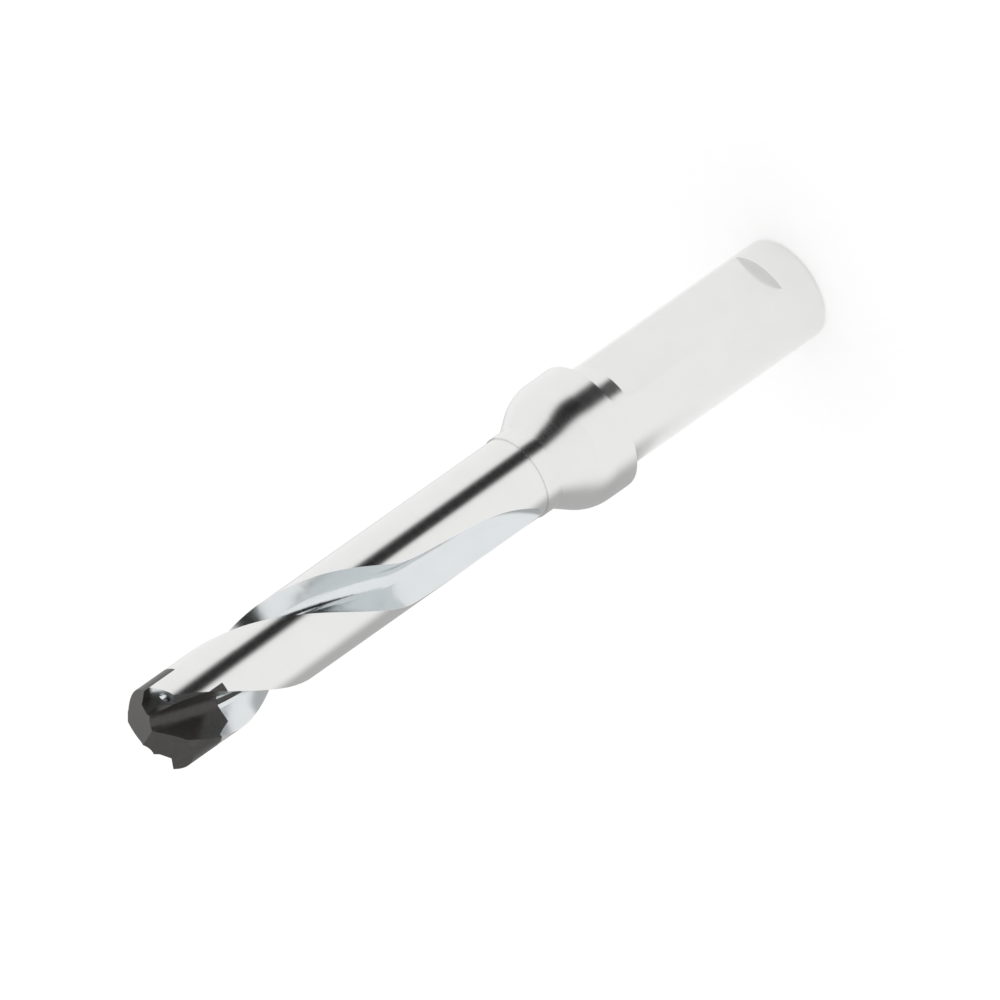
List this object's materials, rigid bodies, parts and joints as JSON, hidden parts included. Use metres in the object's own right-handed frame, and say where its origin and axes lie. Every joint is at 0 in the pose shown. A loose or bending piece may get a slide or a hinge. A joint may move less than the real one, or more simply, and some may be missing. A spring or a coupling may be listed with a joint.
{
  "type": "replaceable tip drill",
  "caption": "Twist drill with a dark carbide crown held between two steel prongs, polished helical flutes, a coned collar and a straight shank with one parallel flat.",
  "frame": {"origin": "centre of the flat end face of the shank, which the drill stands on", "axes": "+Z along the axis from the shank to the point, -Y out of the flat on the shank"},
  "size_m": [0.025, 0.025, 0.1586],
  "materials": {
    "nickel_plated_steel": "satin",
    "coated_carbide": "satin"
  },
  "bodies": {
    "root": {"drill_body": "nickel_plated_steel", "carbide_crown": "coated_carbide"}
  },
  "joints": []
}
